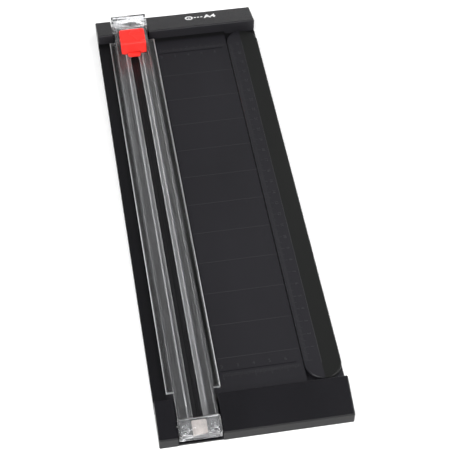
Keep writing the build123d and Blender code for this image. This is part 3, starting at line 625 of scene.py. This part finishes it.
def text_mesh(text, size, height, centre, turn=0.0, weight=0.0):
    """Raised generic figures as a mesh, centred on a point."""
    curve = bpy.data.curves.new("figures_" + text, "FONT")
    curve.body = text
    curve.size = size
    curve.extrude = height / 2
    curve.resolution_u = 3
    curve.offset = weight
    curve.align_x = "CENTER"
    curve.align_y = "CENTER"
    holder = bpy.data.objects.new("figures", curve)
    bpy.context.scene.collection.objects.link(holder)
    graph = bpy.context.evaluated_depsgraph_get()
    mesh = bpy.data.meshes.new_from_object(holder.evaluated_get(graph))
    mesh.transform(Matrix.Translation(Vector(centre)) @ Matrix.Rotation(turn, 4, "Z"))
    bpy.data.objects.remove(holder)
    bpy.data.curves.remove(curve)
    return mesh


def join_meshes(name, meshes):
    """Several meshes as one."""
    bm = bmesh.new()
    for mesh in meshes:
        bm.from_mesh(mesh)
    bmesh.ops.remove_doubles(bm, verts=bm.verts, dist=MARK_WELD)
    joined = bpy.data.meshes.new(name)
    bm.to_mesh(joined)
    bm.free()
    return joined


DECK_Z = 8.6 * MM
MARK = 0.08 * MM
FIGURE_HEIGHT = MARK + 0.1 * MM
DECK_TICKS = {10: 4.2 * MM, 5: 3.2 * MM, 1: 2.2 * MM}
DECK_TICK_HALF = 0.14 * MM
DECK_FIGURE = 3.4 * MM
RULER_TICKS = {10: 4.4 * MM, 5: 3.4 * MM, 1: 2.2 * MM}
RULER_TICK_HALF = 0.13 * MM
RULER_FIGURE = 3.0 * MM
RULER_LINE_HALF = 0.15 * MM


def tick_length(lengths, step):
    """The length of the tick at a whole millimetre: long, middling or short."""
    return next(length for unit, length in lengths.items() if step % unit == 0)


def deck_scale(name, groove_y, outward):
    """Millimetre ticks and centimetre figures beside one cross groove of the deck."""
    marks = Raised(name, MARK)
    figures = []
    start = groove_y + outward * 1.6 * MM
    for step in range(20, 69):
        x = RAIL_X + step * MM
        y0, y1 = sorted((start, start + outward * tick_length(DECK_TICKS, step)))
        marks.bar(x - DECK_TICK_HALF, x + DECK_TICK_HALF, y0, y1, DECK_Z)
        if step % 10 == 0:
            centre = (x, groove_y - outward * 3.6 * MM, DECK_Z + MARK / 2)
            figures.append(text_mesh(str(step // 10), DECK_FIGURE, FIGURE_HEIGHT, centre))
    wear(place(name, join_meshes(name, [marks.mesh(), *figures]), "base", "black_plastic"), MARK_GREY)


deck_scale("deck_scale_front", -143.2 * MM, -1)
deck_scale("deck_scale_rear", 144.7 * MM, 1)


def ruler_scale():
    """Millimetre ticks along the inner edge of the swing ruler, with centimetre figures."""
    low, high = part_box("swing_ruler")
    marks = Raised("ruler_scale", MARK)
    figures = []
    edge = low.x + 0.9 * MM
    first = low.y + 14 * MM
    for step in range(0, 291):
        y = first + step * MM
        reach = edge + tick_length(RULER_TICKS, step)
        marks.bar(edge, reach, y - RULER_TICK_HALF, y + RULER_TICK_HALF, high.z)
        if step % 10 == 0 and step > 0:
            centre = (edge + 6.4 * MM, y, high.z + MARK / 2)
            figure = text_mesh(str(step // 10), RULER_FIGURE, FIGURE_HEIGHT, centre, -math.pi / 2)
            figures.append(figure)
    line_x = low.x + RULER_LINE
    ends = (high.x - low.x) / 2
    marks.bar(line_x - RULER_LINE_HALF, line_x + RULER_LINE_HALF, low.y + ends, high.y - ends, high.z)
    mesh = join_meshes("ruler_scale", [marks.mesh(), *figures])
    wear(place("ruler_scale", mesh, "ruler", "ruler_plastic"), MARK_GREY)


ruler_scale()


# ---------------------------------------------------------------- header print

def ring_points(centre, radius, count=28):
    """Points on a circle."""
    return [(centre[0] + radius * math.cos(2 * math.pi * i / count),
             centre[1] + radius * math.sin(2 * math.pi * i / count)) for i in range(count)]


PRINT_X = 19.5 * MM
PRINT_Y = 177.6 * MM
WEDGE_HIGH = 16.5 * MM
WEDGE_LOW = 9.0 * MM


def header_print():
    """White pad print on the header: a cutting wheel, a dashed cut line and the sheet size."""
    marks = Raised("header_print", 0.05 * MM)
    hub = (-8.0 * MM, 0.0)
    outer = ring_points(hub, 3.1 * MM)
    inner = ring_points(hub, 1.9 * MM)
    for i in range(len(outer)):
        j = (i + 1) % len(outer)
        marks.outline([inner[i], outer[i], outer[j], inner[j]], 0.0)
    marks.outline(ring_points(hub, 0.7 * MM, 12), 0.0)
    for step in range(3):
        left = (-4.2 + 2.5 * step) * MM
        marks.bar(left, left + 1.7 * MM, -0.6 * MM, 0.6 * MM, 0.0)
    size = text_mesh("A4", 7.6 * MM, 0.1 * MM, (8.0 * MM, 0.0, 0.0), 0.0, 0.25 * MM)
    mesh = join_meshes("header_print", [marks.mesh(), size])
    low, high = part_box("rear_end_cap")
    slope = (WEDGE_HIGH - WEDGE_LOW) / (high.y - low.y)
    tilt = Matrix.Rotation(-math.atan(slope), 4, "X")
    print_z = WEDGE_HIGH - slope * (PRINT_Y - low.y)
    mesh.transform(Matrix.Translation((PRINT_X, PRINT_Y, print_z)) @ tilt)
    wear(place("header_print", mesh, "base", "nylon"), PRINT_WHITE)


header_print()


# ---------------------------------------------------------------- stage, light and camera

FLOOR_HALF = 3.0


def floor_piece():
    """The pale floor, just under the feet."""
    mesh = bpy.data.meshes.new("floor")
    corners = [(x * FLOOR_HALF, y * FLOOR_HALF, 0) for x, y in ((-1, -1), (1, -1), (1, 1), (-1, 1))]
    mesh.from_pydata(corners, [], [[0, 1, 2, 3]])
    floor = bpy.data.objects.new("floor", mesh)
    floor.location.z = -0.1 * MM
    bpy.context.scene.collection.objects.link(floor)
    mesh.materials.append(floor_material())


def soft_box(name, location, size, power):
    """A square area light aimed at the middle of the board."""
    light = bpy.data.lights.new(name, "AREA")
    light.shape = "SQUARE"
    light.size = size
    light.energy = power
    holder = bpy.data.objects.new(name, light)
    holder.location = location
    holder.rotation_euler = (-Vector(location)).to_track_quat("-Z", "Y").to_euler()
    bpy.context.scene.collection.objects.link(holder)


def studio_world():
    """Light tent: bright towards the horizon, darker overhead, stronger from the right."""
    world = bpy.data.worlds.new("tent")
    world.use_nodes = True
    tree = world.node_tree
    direction = tree.nodes.new("ShaderNodeTexCoord")
    axes = tree.nodes.new("ShaderNodeSeparateXYZ")
    tree.links.new(direction.outputs["Generated"], axes.inputs["Vector"])
    levels = [(0.0, 0.65), (0.25, 0.42), (0.55, 0.20), (0.8, 0.14), (1.0, 0.12)]
    greys = [(height, (level, level, level * 1.01)) for height, level in levels]
    background = tree.nodes["Background"]
    tree.links.new(colour_ramp(tree, axes.outputs["Z"], greys), background.inputs["Color"])
    strength = map_range(tree, axes.outputs["X"], (0.02, 0.20), (0.60, 1.15))
    tree.links.new(strength, background.inputs["Strength"])
    bpy.context.scene.world = world


def photo_camera():
    """Camera at the photograph's viewing angle."""
    right = Vector((0.98684, -0.16165, 0.00281))
    up = Vector((0.12221, 0.75719, 0.64166))
    forward = Vector((0.10585, 0.63287, -0.76699))
    data = bpy.data.cameras.new("camera")
    data.sensor_width = 36.0
    data.lens = 109.78
    data.clip_start = 0.01
    camera = bpy.data.objects.new("camera", data)
    rotation = Matrix((right, up, -forward)).transposed().to_4x4()
    camera.matrix_world = Matrix.Translation((-0.09108, -0.6120, 0.71617)) @ rotation
    bpy.context.scene.collection.objects.link(camera)
    bpy.context.scene.camera = camera


floor_piece()
studio_world()
soft_box("key", (-0.9, -1.1, 1.5), 1.0, 40.0)
soft_box("fill", (1.2, -0.6, 1.3), 1.0, 27.0)
soft_box("front_top", (0.25, -1.1, 1.25), 0.4, 3.5)
soft_box("back_right", (1.1, 1.15, 0.75), 1.2, 8.0)
soft_box("back_left", (-1.1, 1.15, 0.8), 1.2, 6.0)
photo_camera()
bpy.context.scene.view_settings.view_transform = "Standard"
